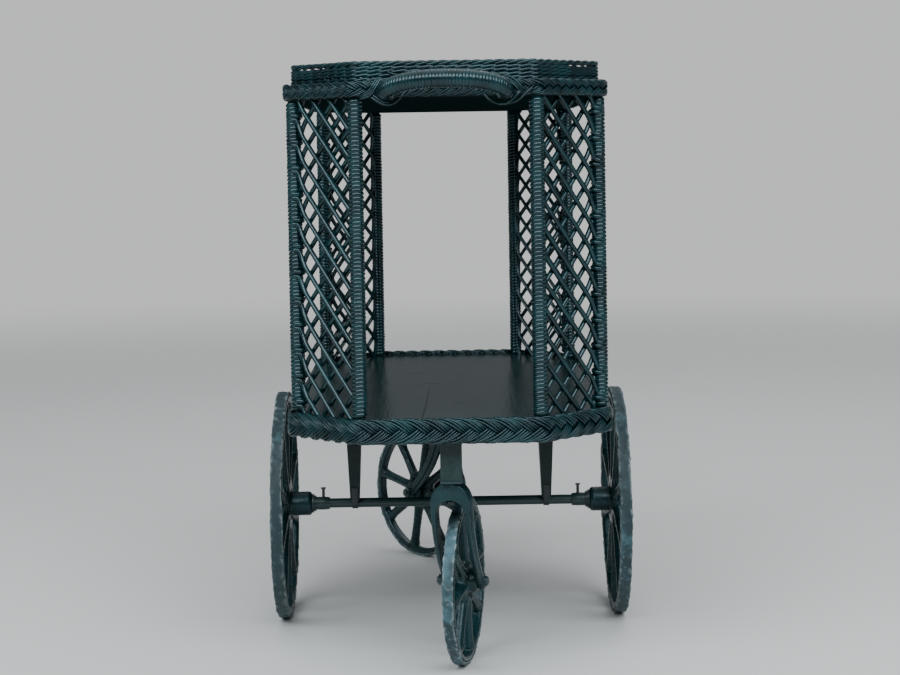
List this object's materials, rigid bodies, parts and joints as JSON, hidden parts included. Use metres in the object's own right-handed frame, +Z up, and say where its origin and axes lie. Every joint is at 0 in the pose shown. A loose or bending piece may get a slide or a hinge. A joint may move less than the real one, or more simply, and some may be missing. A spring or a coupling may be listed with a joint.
{
  "type": "tea cart",
  "caption": "Wicker tea cart with an eight-cornered tray and shelf on bound posts, corner lattices, large side wheels and a swivel caster at each end.",
  "frame": {"origin": "on the floor, under the middle of the cart's bounding box", "axes": "+Z up, +Y along the cart away from the push handle, +X across it, to the right of a person who pushes"},
  "size_m": [0.4968, 0.9162, 0.7498],
  "materials": {
    "painted_wood": "gloss",
    "painted_reed": "satin",
    "painted_casting": "satin",
    "painted_steel": "satin",
    "tyre_rubber": "matte"
  },
  "bodies": {
    "cart": {"top_board": "painted_wood", "top_braid": "painted_reed", "gallery_weave": "painted_reed", "gallery_rim": "painted_reed", "handle": "painted_reed", "post_front_left_inner": "painted_wood", "post_front_left_outer": "painted_wood", "post_front_right_inner": "painted_wood", "post_front_right_outer": "painted_wood", "post_rear_left_inner": "painted_wood", "post_rear_left_outer": "painted_wood", "post_rear_right_inner": "painted_wood", "post_rear_right_outer": "painted_wood", "binding_front_left": "painted_reed", "binding_front_right": "painted_reed", "binding_rear_left": "painted_reed", "binding_rear_right": "painted_reed", "lattice_front_left": "painted_reed", "lattice_front_right": "painted_reed", "lattice_rear_left": "painted_reed", "lattice_rear_right": "painted_reed", "shelf_board_left": "painted_wood", "shelf_board_right": "painted_wood", "shelf_braid": "painted_reed", "front_batten": "painted_wood", "middle_batten": "painted_wood", "rear_batten": "painted_wood", "axle": "painted_steel", "left_leg": "painted_wood", "right_leg": "painted_wood", "leg_straps": "painted_steel", "axle_collars": "painted_steel", "collar_bolts": "painted_steel", "axle_washers": "painted_steel", "cotter_pins": "painted_steel", "front_block": "painted_wood", "front_swivel_plate": "painted_steel", "rear_block": "painted_wood", "rear_swivel_plate": "painted_steel"},
    "left_side_wheel": {"left_wheel": "painted_casting", "left_tyre": "tyre_rubber", "left_bush": "painted_steel"},
    "right_side_wheel": {"right_wheel": "painted_casting", "right_tyre": "tyre_rubber", "right_bush": "painted_steel"},
    "front_caster": {"front_fork": "painted_casting", "front_bolt": "painted_steel", "front_nut": "painted_steel"},
    "front_caster_wheel": {"front_wheel": "painted_casting", "front_tyre": "tyre_rubber", "front_bush": "painted_steel"},
    "rear_caster": {"rear_fork": "painted_casting", "rear_bolt": "painted_steel", "rear_nut": "painted_steel"},
    "rear_caster_wheel": {"rear_wheel": "painted_casting", "rear_tyre": "tyre_rubber", "rear_bush": "painted_steel"}
  },
  "joints": [
    {"name": "left_wheel_spin", "type": "hinge", "parent": "cart", "child": "left_side_wheel", "pos_m": [-0.2303, -0.01621, 0.156], "axis": [1, 0, 0], "continuous": true},
    {"name": "right_wheel_spin", "type": "hinge", "parent": "cart", "child": "right_side_wheel", "pos_m": [0.2303, -0.01621, 0.156], "axis": [1, 0, 0], "continuous": true},
    {"name": "front_swivel", "type": "hinge", "parent": "cart", "child": "front_caster", "pos_m": [0, -0.35521, 0.23], "axis": [0, 0, 1], "continuous": true},
    {"name": "front_wheel_spin", "type": "hinge", "parent": "front_caster", "child": "front_caster_wheel", "pos_m": [0.01455, -0.28674, 0.104], "axis": [0.9781, -0.2079, 0], "continuous": true},
    {"name": "rear_swivel", "type": "hinge", "parent": "cart", "child": "rear_caster", "pos_m": [0, 0.32279, 0.23], "axis": [0, 0, 1], "continuous": true},
    {"name": "rear_wheel_spin", "type": "hinge", "parent": "rear_caster", "child": "rear_caster_wheel", "pos_m": [-0.04592, 0.37562, 0.104], "axis": [0.7547, 0.6561, 0], "continuous": true}
  ]
}
